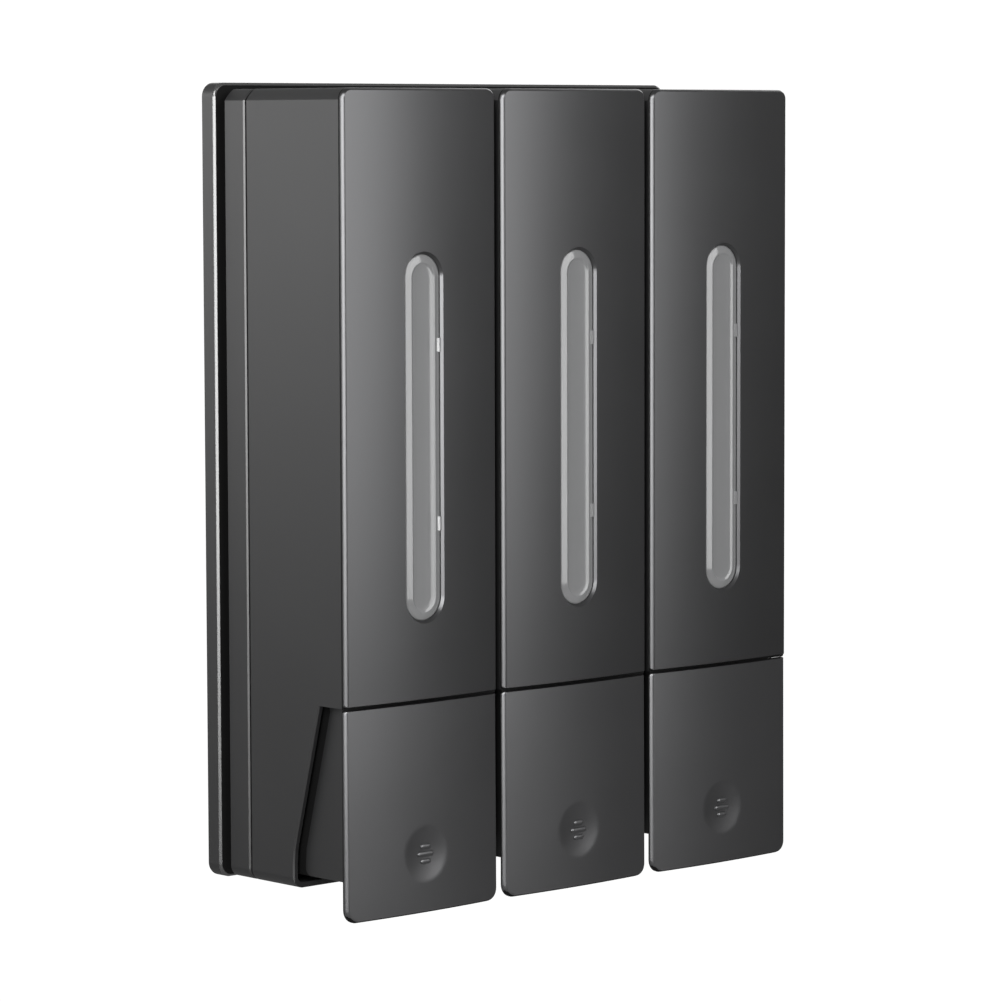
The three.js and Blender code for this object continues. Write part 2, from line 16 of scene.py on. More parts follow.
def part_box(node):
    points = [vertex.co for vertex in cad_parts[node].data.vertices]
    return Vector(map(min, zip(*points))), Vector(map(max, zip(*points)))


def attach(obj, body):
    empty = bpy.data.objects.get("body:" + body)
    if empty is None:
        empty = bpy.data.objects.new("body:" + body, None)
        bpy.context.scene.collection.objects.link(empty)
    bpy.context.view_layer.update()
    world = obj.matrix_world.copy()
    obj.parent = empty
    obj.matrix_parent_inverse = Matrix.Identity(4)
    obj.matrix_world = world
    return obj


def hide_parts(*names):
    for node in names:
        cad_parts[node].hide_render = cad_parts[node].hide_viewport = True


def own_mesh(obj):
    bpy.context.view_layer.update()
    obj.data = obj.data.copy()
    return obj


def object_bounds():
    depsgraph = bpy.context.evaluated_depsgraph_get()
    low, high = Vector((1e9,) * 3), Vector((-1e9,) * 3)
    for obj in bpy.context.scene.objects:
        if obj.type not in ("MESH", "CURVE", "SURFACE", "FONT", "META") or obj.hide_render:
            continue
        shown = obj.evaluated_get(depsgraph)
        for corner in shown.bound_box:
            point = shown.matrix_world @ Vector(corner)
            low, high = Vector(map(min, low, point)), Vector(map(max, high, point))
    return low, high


MM = 0.001
UNITS = (1, 2, 3)

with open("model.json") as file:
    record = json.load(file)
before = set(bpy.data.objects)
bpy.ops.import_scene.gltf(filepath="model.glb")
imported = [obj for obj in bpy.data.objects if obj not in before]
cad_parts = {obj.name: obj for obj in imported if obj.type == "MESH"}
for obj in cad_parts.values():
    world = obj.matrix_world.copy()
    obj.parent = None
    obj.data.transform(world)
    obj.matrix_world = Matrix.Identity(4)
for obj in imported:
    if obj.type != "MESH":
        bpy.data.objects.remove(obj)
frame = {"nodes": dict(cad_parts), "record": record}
cad_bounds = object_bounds()


def box_mm(node):
    """Lowest and highest corner of a CAD node in millimetres."""
    low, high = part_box(node)
    return Vector(low) / MM, Vector(high) / MM


# ---------------------------------------------------------------- sizes read from the frame
plate_low, plate_high = box_mm("wall_plate")
panel_low, panel_high = box_mm("front_panel_1")
push_low, push_high = box_mm("push_panel_1")
shell_low, shell_high = box_mm("housing_1")
rear_low, rear_high = box_mm("rear_shell_1")
lens_low, lens_high = box_mm("window_lens_1")
tank_low, tank_high = box_mm("tank_1")
lever_low = box_mm("push_lever_1")[0]
lid_low = box_mm("fill_lid_1")[0]
nozzle_low = box_mm("nozzle_1")[0]


def unit_x(unit):
    """Place of a unit's middle line across the dispenser."""
    low, high = box_mm(f"front_panel_{unit}")
    return (low.x + high.x) / 2


# Metal panels
PANEL_HALF = (panel_high.x - panel_low.x) / 2
PANEL_BACK = panel_high.y - 0.35  # the metal skin's back; a dark plastic carrier fills the rest
CARRIER = (PANEL_BACK, panel_high.y + 0.25)  # front and back of that carrier
CARRIER_INSET = 0.12
CROWN_Y = panel_low.y
BOW_RISE = 1.3  # how far a panel's middle stands forward of its long edges
BOW_RADIUS = (PANEL_HALF**2 + BOW_RISE**2) / (2 * BOW_RISE)
EDGE_ROUND = 1.15
EDGE_SHAPE = 1.65  # 1 is a quarter circle, 2 a flat chamfer
EDGE_STEPS = 8
FRONT_CORNERS = (1.0, 3.3)  # radii at the bottom and at the top
FRONT_SHARES = (0.3, 0.6)  # how far the rim reaches in there, as a share of its reach at the sides
PUSH_CORNERS = (4.2, 1.0)
PUSH_SHARES = (0.5, 0.3)
PUSH_ROWS = 96
PUSH_LEAN = 0.3  # how far the push panel's top stands back from its bottom
SHADE_HEM_TILT = -0.35  # faces of a push panel's rim that look down more than this get painted shade, a dark lower hem
SPLIT_Z = (panel_low.z + push_high.z) / 2

# Level window
WINDOW_HALF = 7.72
WINDOW_MID_Z = (lens_low.z + lens_high.z) / 2
WINDOW_HALF_HEIGHT = (lens_high.z - lens_low.z) / 2 - 1.45
WINDOW_CHAMFER = 0.72
LENS_SHOULDER = -63.0  # the lens meets the panel this deep
LENS_RIDGE = -63.62
LENS_PANE = -63.34
SNAP_HEIGHTS = (42.2, -10.9)  # places of the two small wedges that hold the lens

# Thumb dimple
DIMPLE_Z = -109.2
DIMPLE_RADIUS = 8.4
DIMPLE_DEPTH = 0.5
DIMPLE_SHAPE = 1.15  # a little over 1, so that the dish meets the face smoothly
RIB_HALF = 0.8  # half the height of a grip rib
RIB_RISE = 0.48
RIB_PITCH = 2.25
RIB_LENGTHS = (4.0, 6.4, 4.0)

# Wall plate
PLATE_FRONT = -5.9
PLATE_BEVEL = 0.8
PLATE_CORNER = 4.2
WALL_HOLE_X = unit_x(3)  # the four wall screws stand on the outer units' middle lines
WALL_HOLE_Z = 80
HOOK_HEIGHTS = (60, -30)

# Shells
SHELL_HALF = (shell_high.x - shell_low.x) / 2
SHELL_CORNER = 3.5
CORNER_SHAPE = 1.65  # the units' upper corners are nearly flat chamfers with soft ends
REAR_BACK = -8.3
HOUSING_WALL = 1.6
SEAM = 0.42  # flat chamfer on the rear shell at its seam with the casing
SEAM_GROOVE = 0.9  # width of the groove on the casing's side of that seam, its faces painted shade near-black
CUT_CHAMFER = 0.42
CLEAR_FRONT = -70  # cutters start and end beyond these, outside every piece
CLEAR_BELOW = -130
CUTOUT = ((-50.2, SPLIT_Z), (-39.7, -102.6), (-38.5, -107.4), (-38.1, -112.0), (-38.1, CLEAR_BELOW))

# Lever, flap and pump
PIVOT_Y, PIVOT_Z = -54.0, -56.0  # the lever's pin
PIVOT_BORE = 1.72
LEVER_HALF = 26.4
LEVER_WALL = 2.0
LEVER_CORNER = 1.2
LEVER_FOOT = 2.3  # radius of the side walls' lower rear corners
LEVER_CURL = 3.0  # radius at which the side walls curl inward along their rear edges
LEVER_COVER = 4.0  # how far the side walls reach into the casing, behind its cut edge
SHADE_MARGIN = 1.5  # the side walls carry painted shade from just in front of the casing's cut edge
LID_HINGE_Y, LID_HINGE_Z = -24.0, 116.0
LID_BORE = 1.07
LID_HALF = 24.0
LID_OPENING_HALF = 24.4
OUTLET_Y = -25.0  # the pump's and the nozzle's upright axis
SPRING_COIL = 5.6
SPRING_WIRE = 0.6
SPRING_TURNS = 5.0
END_TURN = 0.75  # share of a turn that lies flat at each end


# ---------------------------------------------------------------- mesh helpers
def new_object(name, bm, smooth_angle=None):
    """Turns a bmesh in millimetres into an object in metres, with faces out."""
    bmesh.ops.recalc_face_normals(bm, faces=bm.faces)
    bmesh.ops.scale(bm, vec=(MM, MM, MM), verts=bm.verts)
    mesh = bpy.data.meshes.new(name)
    bm.to_mesh(mesh)
    bm.free()
    obj = bpy.data.objects.new(name, mesh)
    bpy.context.scene.collection.objects.link(obj)
    if smooth_angle is not None:
        smooth(obj, smooth_angle)
    return obj


def smooth(obj, angle=35):
    """Smooth shading that stays sharp over creases steeper than the angle."""
    mesh = obj.data
    mesh.polygons.foreach_set("use_smooth", [True] * len(mesh.polygons))
    mesh.set_sharp_from_angle(angle=math.radians(angle))


def apply_modifiers(obj):
    """Bakes the modifier stack into the mesh."""
    depsgraph = bpy.context.evaluated_depsgraph_get()
    baked = bpy.data.meshes.new_from_object(obj.evaluated_get(depsgraph))
    old = obj.data
    obj.modifiers.clear()
    obj.data = baked
    bpy.data.meshes.remove(old)
    baked.name = obj.name


def combine(obj, operation, tools):
    """Joins or cuts obj by other objects, which are used up."""
    for tool in tools:
        step = obj.modifiers.new("combine", "BOOLEAN")
        step.operation = operation
        step.solver = "EXACT"
        step.object = tool
    bpy.context.view_layer.update()
    apply_modifiers(obj)
    for tool in tools:
        bpy.data.objects.remove(tool)
    return obj


def cut(obj, *tools):
    return combine(obj, "DIFFERENCE", tools)


def join(obj, *tools):
    return combine(obj, "UNION", tools)


def bevel(obj, width, segments=2, angle=40):
    """Rounds every crease steeper than the angle."""
    step = obj.modifiers.new("bevel", "BEVEL")
    step.width = width * MM
    step.segments = segments
    step.limit_method = "ANGLE"
    step.angle_limit = math.radians(angle)
    step.use_clamp_overlap = True
    step.miter_outer = "MITER_ARC"
    bpy.context.view_layer.update()
    apply_modifiers(obj)
    smooth(obj, 30)
    even_normals(obj)
    return obj


def even_normals(obj):
    """Lets the large faces decide the shading at a rounded edge, so that flat walls stay flat."""
    step = obj.modifiers.new("normals", "WEIGHTED_NORMAL")
    step.mode = "FACE_AREA"
    step.keep_sharp = True
    bpy.context.view_layer.update()
    apply_modifiers(obj)


def prism(name, outline, direction, low, high):
    """Pushes a closed outline along X, Y or Z. Outline points are (y, z), (x, z) or (x, y)."""
    place = {
        "x": lambda a, b, along: (along, a, b),
        "y": lambda a, b, along: (a, along, b),
        "z": lambda a, b, along: (a, b, along),
    }[direction]
    bm = bmesh.new()
    rings = [[bm.verts.new(place(a, b, level)) for a, b in outline] for level in (low, high)]
    stitch(bm, rings)
    bm.faces.new(rings[0])
    bm.faces.new(rings[1])
    return new_object(name, bm)


def stitch(bm, rings):
    """Quads between closed rings that hold the same number of points."""
    for ring, following in zip(rings, rings[1:]):
        count = len(ring)
        for i in range(count):
            j = (i + 1) % count
            bm.faces.new((ring[i], ring[j], following[j], following[i]))


def block(name, x0, x1, y0, y1, z0, z1):
    return prism(name, [(x0, y0), (x1, y0), (x1, y1), (x0, y1)], "z", z0, z1)


def circle(radius, centre=(0.0, 0.0), points=48):
    turns = [2 * math.pi * i / points for i in range(points)]
    return [(centre[0] + radius * math.cos(t), centre[1] + radius * math.sin(t)) for t in turns]


def rounded_rectangle(x0, x1, z0, z1, radius, steps=10, upper_shape=1.0):
    """Closed outline, counter-clockwise from the lower right corner's arc.

    An upper_shape of 1 makes the upper corners round, and 2 cuts them off almost flat.
    """
    centres = (
        (x1 - radius, z0 + radius, -90),
        (x1 - radius, z1 - radius, 0),
        (x0 + radius, z1 - radius, 90),
        (x0 + radius, z0 + radius, 180),
    )
    points = []
    for cx, cz, start in centres:
        shape = upper_shape if start in (0, 90) else 1.0
        for i in range(steps + 1):
            turn = math.radians(start + 90 * i / steps)
            across, up = math.cos(turn), math.sin(turn)
            across = math.copysign(abs(across) ** shape, across)
            up = math.copysign(abs(up) ** shape, up)
            points.append((cx + radius * across, cz + radius * up))
    return points


def slot_outline(inset, x):
    """The window's round-ended outline, drawn in by inset."""
    half = WINDOW_HALF - inset
    height = WINDOW_HALF_HEIGHT - inset
    return rounded_rectangle(
        x - half, x + half, WINDOW_MID_Z - height, WINDOW_MID_Z + height, half - 0.001, 24
    )


def lathe(name, profile, centre, axis="z", points=64):
    """Turns a closed (radius, height) profile round a line through centre, along Y or Z."""
    bm = bmesh.new()
    columns = []
    for i in range(points):
        turn = 2 * math.pi * i / points
        column = []
        for radius, height in profile:
            a, b = radius * math.cos(turn), radius * math.sin(turn)
            at = (a, b, height) if axis == "z" else (a, height, -b)
            column.append(bm.verts.new(Vector(at) + Vector(centre)))
        columns.append(column)
    for i in range(points):
        here, there = columns[i], columns[(i + 1) % points]
        for k in range(len(profile)):
            m = (k + 1) % len(profile)
            bm.faces.new((here[k], here[m], there[m], there[k]))
    bmesh.ops.remove_doubles(bm, verts=bm.verts, dist=1e-5)
    return new_object(name, bm)


def flared(name, rings_of_points):
    """Closed body through rings that hold the same number of points, the first and last of them flat."""
    bm = bmesh.new()
    rings = [[bm.verts.new(point) for point in ring] for ring in rings_of_points]
    stitch(bm, rings)
    bm.faces.new(rings[0])
    bm.faces.new(rings[-1])
    return new_object(name, bm)


def merge_meshes(obj, others):
    """Adds other objects' meshes to obj's own, as separate closed shells."""
    bm = bmesh.new()
    for source in (obj, *others):
        bm.from_mesh(source.data)
    bm.to_mesh(obj.data)
    bm.free()
    for source in others:
        bpy.data.objects.remove(source)
    return obj


# ---------------------------------------------------------------- materials
def surface(name, colour, roughness, metallic=0.0, **more):
    """A Principled material whose colour and roughness drift softly, with a fine grain in its bump."""
    material = bpy.data.materials.new(name)
    material.use_nodes = True
    nodes, links = material.node_tree.nodes, material.node_tree.links
    shader = nodes["Principled BSDF"]
    shader.inputs["Metallic"].default_value = metallic
    shader.inputs["IOR"].default_value = more.get("ior", 1.5)
    if "transmission" in more:
        shader.inputs["Transmission Weight"].default_value = more["transmission"]
    if "coat" in more:
        shader.inputs["Coat Weight"].default_value = more["coat"]
        shader.inputs["Coat Roughness"].default_value = more.get("coat_roughness", 0.1)
    if "specular" in more:
        shader.inputs["Specular IOR Level"].default_value = more["specular"]
    place = nodes.new("ShaderNodeTexCoord")
    stretch = nodes.new("ShaderNodeMapping")
    stretch.inputs["Scale"].default_value = more.get("stretch", (1, 1, 1))
    links.new(place.outputs["Object"], stretch.inputs["Vector"])

    cloud = nodes.new("ShaderNodeTexNoise")
    cloud.inputs["Scale"].default_value = more.get("cloud_scale", 35.0)
    cloud.inputs["Detail"].default_value = 3.0
    links.new(place.outputs["Object"], cloud.inputs["Vector"])
    grain = nodes.new("ShaderNodeTexNoise")
    grain.inputs["Scale"].default_value = more.get("grain_scale", 2600.0)
    grain.inputs["Detail"].default_value = 2.0
    links.new(stretch.outputs["Vector"], grain.inputs["Vector"])

    drift = nodes.new("ShaderNodeMix")
    drift.data_type = "RGBA"
    swing = more.get("colour_swing", 0.08)
    drift.inputs["A"].default_value = (*[c * (1 - swing) for c in colour], 1)
    drift.inputs["B"].default_value = (*[min(1, c * (1 + swing)) for c in colour], 1)
    links.new(cloud.outputs["Fac"], drift.inputs["Factor"])
    links.new(drift.outputs["Result"], shader.inputs["Base Color"])

    rough = nodes.new("ShaderNodeMapRange")
    spread = more.get("roughness_swing", 0.04)
    rough.inputs["To Min"].default_value = roughness - spread
    rough.inputs["To Max"].default_value = roughness + spread
    half_grain = nodes.new("ShaderNodeMath")
    half_grain.operation = "MULTIPLY"
    half_grain.inputs[1].default_value = 0.5
    links.new(grain.outputs["Fac"], half_grain.inputs[0])
    average = nodes.new("ShaderNodeMath")
    average.operation = "MULTIPLY_ADD"
    average.inputs[1].default_value = 0.5
    links.new(cloud.outputs["Fac"], average.inputs[0])
    links.new(half_grain.outputs["Value"], average.inputs[2])
    links.new(average.outputs["Value"], rough.inputs["Value"])
    links.new(rough.outputs["Result"], shader.inputs["Roughness"])

    bump = nodes.new("ShaderNodeBump")
    bump.inputs["Strength"].default_value = more.get("bump", 0.15)
    bump.inputs["Distance"].default_value = more.get("bump_depth", 0.00003)
    links.new(grain.outputs["Fac"], bump.inputs["Height"])
    links.new(bump.outputs["Normal"], shader.inputs["Normal"])
    return material


GUNMETAL = (0.088, 0.088, 0.090)
BLACK_PLASTIC = (0.017, 0.017, 0.0175)


def gunmetal(name, painted_lightness=1.0):
    """Satin gun-metal with a very fine upright grain. A painted_lightness over 1 gives a lighter copy:
    painted light.
    """
    return surface(
        name, [painted_lightness * c for c in GUNMETAL], 0.29, 0.95, grain_scale=3000, stretch=(1, 1, 0.12),
        colour_swing=0.03, roughness_swing=0.03, bump=0.06, bump_depth=0.00001,
    )


MATERIALS = {
    "satin_metal": gunmetal("satin_gunmetal"),
    "dark_plastic": surface(
        "textured_black_plastic", BLACK_PLASTIC, 0.42, grain_scale=2400, bump=0.22, bump_depth=0.00002
    ),
    "plate_plastic": surface(
        "satin_black_plastic", BLACK_PLASTIC, 0.42, grain_scale=2000, bump=0.12, bump_depth=0.00002
    ),
    "clear_plastic": surface(
        "clear_acrylic", (0.275, 0.277, 0.28), 0.16, transmission=0.5, ior=1.49, coat=0.7,
        coat_roughness=0.07, colour_swing=0.03, roughness_swing=0.02, bump=0.0, grain_scale=600,
    ),
    "frosted_plastic": surface(
        "frosted_tank", (0.20, 0.202, 0.205), 0.32, colour_swing=0.05, bump=0.08, grain_scale=900
    ),
    "white_plastic": surface("white_acetal", (0.5, 0.5, 0.49), 0.42, colour_swing=0.04, bump=0.1),
    "rubber": surface("black_silicone", (0.022, 0.022, 0.022), 0.7, colour_swing=0.15, bump=0.2),
    "steel": surface(
        "bright_steel", (0.58, 0.58, 0.59), 0.26, 1.0, grain_scale=1800, stretch=(0.15, 1, 1), bump=0.08
    ),
}
# Finishes that cover only part of a piece, and painted light and shade: a lighter copy of the gun-metal
# for the push panels, and a near-black painted shade
# Painted light: the push panels' gun-metal is a third lighter, standing in for brighter light on them
PUSH_METAL_PAINTED_LIGHTER = gunmetal("satin_gunmetal_push_painted_lighter", 1.36)
GLOSS_EDGE = surface(
    "lacquered_edge", (0.03, 0.03, 0.03), 0.24, ior=1.9, colour_swing=0.1, roughness_swing=0.02,
    bump=0.05,
)
SATIN_EDGE = surface(
    "satin_edge", (0.02, 0.02, 0.02), 0.3, ior=1.6, colour_swing=0.1, roughness_swing=0.02, bump=0.05
)
# Painted shade: near-black laid on faces where shade falls, in gaps, grooves and under edges
PAINTED_SHADE_BLACK = surface(
    "painted_shade_black", (0.005, 0.005, 0.005), 0.8, specular=0.12, colour_swing=0.2, bump=0.2
)


def finish_piece(obj, slot, body, *stands_for):
    """Gives a new piece the material named by its slot and its body, and hides the CAD nodes that it
    stands for.
    """
    obj.data.materials.clear()
    obj.data.materials.append(MATERIALS[slot])
    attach(obj, body)
    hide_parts(*stands_for)
    return obj


def repaint(obj, material, chosen):
    """Gives another material to the faces that chosen(centre in millimetres, normal) picks."""
    obj.data.materials.append(material)
    for face in obj.data.polygons:
        if chosen(face.center / MM, face.normal):
            face.material_index = len(obj.data.materials) - 1


# ---------------------------------------------------------------- metal panels
def corner_drop(radius, from_side):
    """How far a round corner cuts into a horizontal edge, at a distance from the panel's side."""
    if from_side >= radius:
        return 0.0
    return radius - math.sqrt(max(radius**2 - (radius - from_side) ** 2, 0.0))


def bow(offset):
    """Depth of the bowed face at a distance from the panel's middle line."""
    return CROWN_Y + BOW_RADIUS - math.sqrt(BOW_RADIUS**2 - offset**2)


def dimple(offset, z):
    """Depth of the thumb dimple: a smooth dish that meets the face without a step."""
    reach = math.hypot(offset, z - DIMPLE_Z) / DIMPLE_RADIUS
    if reach >= 1:
        return 0.0
    return DIMPLE_DEPTH * (1 - reach**2) ** DIMPLE_SHAPE


def push_dent(offset, z):
    """The push panel leans back a little toward its top and has the thumb dimple near its foot."""
    return dimple(offset, z) + PUSH_LEAN * (z - push_low.z) / (push_high.z - push_low.z)


def panel_columns(corner_radii):
    """Distances from the middle line that divide the face, close together at the round corners."""
    near_side = {0.0}
    for radius in corner_radii:
        near_side.update(radius * (1 - math.cos(math.radians(10 * i))) for i in range(1, 10))
    inner = PANEL_HALF - max(*corner_radii, EDGE_ROUND) - 0.8
    steps = 56
    middle = [inner - 2 * inner * i / steps for i in range(steps + 1)]
    left = sorted(-(PANEL_HALF - d) for d in near_side)
    right = [-x for x in reversed(left)]
    return left + sorted(middle) + right


def metal_panel(name, x, low, high, corners, shares, levels, dent=None):
    """A bowed skin: its face is a grid of columns and levels, and its rounded rim a stack of rings.

    Corners are the radii at the bottom and at the top. Shares say how far the rim reaches in from those
    two edges, as a share of how far it reaches in from the sides. Dent adds depth to the face.
    """
    low_corner, high_corner = corners
    columns = panel_columns(corners)
    rows = len(levels) - 1
    bm = bmesh.new()

    def point(column, level, inset, drop):
        share = (PANEL_HALF - inset) / PANEL_HALF
        offset = column * share
        side = PANEL_HALF - inset - abs(offset)
        bottom = low + inset * shares[0] + corner_drop(max(low_corner - inset, 0.05), side)
        top = high - inset * shares[1] - corner_drop(max(high_corner - inset, 0.05), side)
        z = bottom + (top - bottom) * level
        depth = dent(offset, z) if dent else 0.0
        return (x + offset, bow(offset) + drop + depth, z)

    face = [[bm.verts.new(point(c, v, EDGE_ROUND, 0.0)) for v in levels] for c in columns]
    for left, right in zip(face, face[1:]):
        for j in range(rows):
            bm.faces.new((left[j], right[j], right[j + 1], left[j + 1]))

    last = len(columns) - 1
    border = [(i, 0) for i in range(last + 1)]
    border += [(last, j) for j in range(1, rows + 1)]
    border += [(i, rows) for i in range(last - 1, -1, -1)]
    border += [(0, j) for j in range(rows - 1, 0, -1)]
    rings = [[face[i][j] for i, j in border]]
    for step in range(1, EDGE_STEPS + 1):
        turn = math.radians(90 * step / EDGE_STEPS)
        inset = EDGE_ROUND * (1 - math.sin(turn) ** EDGE_SHAPE)
        drop = EDGE_ROUND * (1 - math.cos(turn) ** EDGE_SHAPE)
        ring = [point(columns[i], levels[j], inset, drop) for i, j in border]
        rings.append([bm.verts.new(at) for at in ring])
    back = []
    for i, j in border:
        px, py, pz = point(columns[i], levels[j], 0.0, EDGE_ROUND)
        back.append(bm.verts.new((px, max(PANEL_BACK, py + 0.05), pz)))
    rings.append(back)
    stitch(bm, rings)
    bm.faces.new(back)
    return new_object(name, bm, smooth_angle=40)


def front_panel(unit):
    """The fixed metal face, with the level window's opening cut through it."""
    x = unit_x(unit)
    height = panel_high.z - panel_low.z
    ends = [WINDOW_MID_Z - WINDOW_HALF_HEIGHT - 3, WINDOW_MID_Z + WINDOW_HALF_HEIGHT + 3]
    levels = [0.0, *((z - panel_low.z) / height for z in ends), 1.0]
    panel = metal_panel(
        f"front_face_{unit}", x, panel_low.z, panel_high.z, FRONT_CORNERS, FRONT_SHARES, levels
    )
    rim = bow(WINDOW_HALF)
    stations = ((WINDOW_CHAMFER, PANEL_BACK + 5), (WINDOW_CHAMFER, rim + WINDOW_CHAMFER), (-1, rim - 1))
    cut(panel, window_body("opening", x, stations))
    smooth(panel, 35)
    even_normals(panel)
    return finish_piece(panel, "satin_metal", "root", f"front_panel_{unit}")


def carrier(x, low, high, low_corner, high_corner):
    """Thin dark plastic behind a metal skin. It closes the view through the split line."""
    half = PANEL_HALF - CARRIER_INSET
    outline = rounded_rectangle(x - half, x + half, low, high, low_corner)
    top = rounded_rectangle(x - half, x + half, low, high, high_corner)
    middle = (low + high) / 2
    mixed = [a if a[1] < middle else b for a, b in zip(outline, top)]
    return prism("carrier", mixed, "y", *CARRIER)


def grip_rib(x, z, length):
    """A half-round bar with round ends, standing in the dimple."""
    floor = CROWN_Y + push_dent(0.0, DIMPLE_Z)
    bm = bmesh.new()
    rings = []
    for step in range(7):
        turn = math.radians(90 * step / 6)
        reach = max(RIB_HALF * math.cos(turn), 0.02)
        rise = RIB_RISE * math.sin(turn) + 0.1
        inset = RIB_HALF - reach
        outline = rounded_rectangle(
            x - length / 2 + inset, x + length / 2 - inset, z - reach, z + reach, reach - 0.001, 8
        )
        rings.append([bm.verts.new((px, floor - rise, pz)) for px, pz in outline])
    root = [bm.verts.new((v.co.x, floor + 0.3, v.co.z)) for v in rings[0]]
    rings.insert(0, root)
    stitch(bm, rings)
    bm.faces.new(rings[0])
    bm.faces.new(rings[-1])
    return new_object("rib", bm, smooth_angle=60)


def push_panel(unit):
    """The metal face that the hand presses, with the thumb dimple, three grip ribs and painted shade on
    its lower hem.
    """
    x = unit_x(unit)
    levels = [j / PUSH_ROWS for j in range(PUSH_ROWS + 1)]
    panel = metal_panel(
        f"push_face_{unit}", x, push_low.z, push_high.z, PUSH_CORNERS, PUSH_SHARES, levels, push_dent
    )
    ribs = [
        grip_rib(x, DIMPLE_Z + (1 - i) * RIB_PITCH, length) for i, length in enumerate(RIB_LENGTHS)
    ]
    merge_meshes(panel, ribs)
    finish_piece(panel, "satin_metal", f"lever_{unit}", f"push_panel_{unit}")
    # The push face takes the lighter copy of the gun-metal: painted light
    panel.data.materials[0] = PUSH_METAL_PAINTED_LIGHTER
    # Painted shade: the lower rim's downward-looking faces go near-black
    shade_hem_top = push_low.z + PUSH_CORNERS[0]
    repaint(panel, PAINTED_SHADE_BLACK, lambda at, out: at.z < shade_hem_top and out.z < SHADE_HEM_TILT)
    return panel


# ---------------------------------------------------------------- window
def window_body(name, x, stations):
    """Closed body with the window's outline through (inset, y) stations."""
    return flared(name, [[(px, y, pz) for px, pz in slot_outline(inset, x)] for inset, y in stations])


def window_lens(unit):
    """Clear insert: sloping sides that rise to a rounded ridge round a flat pane, over a wide flange."""
    x = unit_x(unit)
    flange = -60.9
    stations = (
        (-1.6, lens_high.y), (-1.6, flange), (0.78, flange), (0.78, LENS_SHOULDER + 0.1),
        (0.86, LENS_SHOULDER), (1.5, LENS_SHOULDER - 0.2), (2.2, LENS_SHOULDER - 0.4),
        (2.8, LENS_RIDGE + 0.06), (3.0, LENS_RIDGE + 0.02), (3.15, LENS_RIDGE),
        (3.3, LENS_RIDGE + 0.03), (3.45, LENS_RIDGE + 0.1), (3.75, LENS_PANE - 0.05),
        (3.95, LENS_PANE - 0.01), (5.6, LENS_PANE), (7.0, LENS_PANE),
    )
    lens = window_body(f"level_window_{unit}", x, stations)
    smooth(lens, 38)
    merge_meshes(lens, snap_bars(x))
    return finish_piece(lens, "clear_plastic", "root", f"window_lens_{unit}")


def snap_bars(x):
    """Two small wedges in the right-hand channel that hold the lens in its frame."""
    root, tip = -62.7, -63.85
    section = [(x + 5.5, root), (x + 5.5, -63.2), (x + 6.2, tip), (x + 6.5, tip), (x + 6.7, root)]
    return [prism("snap", section, "z", z - 1.9, z + 2.2) for z in SNAP_HEIGHTS]


# ---------------------------------------------------------------- shells
def shell_outline(x, inset):
    """Front view of a unit's casing and rear shell, drawn in by inset."""
    return rounded_rectangle(
        x - SHELL_HALF + inset, x + SHELL_HALF - inset, shell_low.z + inset, shell_high.z - inset,
        max(SHELL_CORNER - inset, 0.8), 14, CORNER_SHAPE,
    )


def shell_body(name, x, stations):
    """Block with the units' round-cornered outline through (inset, y) stations."""
    return flared(name, [[(px, y, pz) for px, pz in shell_outline(x, inset)] for inset, y in stations])


def wall_plate():
    """The common backing plate, with a wide soft bevel round its front edge."""
    low, high = plate_low, plate_high
    front = PLATE_FRONT
    stations = (
        (0.35, 0.0), (0.1, -0.1), (0.0, -0.35), (0.0, front + PLATE_BEVEL), (0.04, front + 0.66),
        (0.66, front + 0.04), (PLATE_BEVEL, front),
    )
    rings = []
    for inset, y in stations:
        outline = rounded_rectangle(
            low.x + inset, high.x - inset, low.z + inset, high.z - inset, PLATE_CORNER - inset * 0.8, 16
        )
        rings.append([(px, y, pz) for px, pz in outline])
    plate = flared("backing_plate", rings)
    countersink = [(0.0, -9), (6.9, -9), (2.3, -3.7), (2.3, 2), (0.0, 2)]
    places = [(x, 0, z) for x in (-WALL_HOLE_X, WALL_HOLE_X) for z in (-WALL_HOLE_Z, WALL_HOLE_Z)]
    cut(plate, *[lathe("hole", countersink, place, "y") for place in places])
    smooth(plate, 30)
    even_normals(plate)
    merge_meshes(plate, hooks())
    finish_piece(plate, "plate_plastic", "root", "wall_plate")
    repaint(plate, GLOSS_EDGE, lambda at, out: front < at.y < front + PLATE_BEVEL and abs(out.y) < 0.95)
    # Painted shade: the plate's front face goes near-black, as shade in the gap behind the units
    repaint(plate, PAINTED_SHADE_BLACK, lambda at, out: abs(at.y - front) < 0.01)
    return plate


def hooks():
    """The plate's hooks, which hold the units through slots in their rear shells."""
    root, lip, tip = -5.5, -10.6, -12.2
    made = []
    for unit in UNITS:
        x = unit_x(unit)
        for z in HOOK_HEIGHTS:
            outline = [(root, z), (tip, z), (tip, z + 6), (lip, z + 6), (lip, z + 3), (root, z + 3)]
            made.append(bevel(prism("hook", outline, "x", x - 5, x + 5), 0.25))
    return made


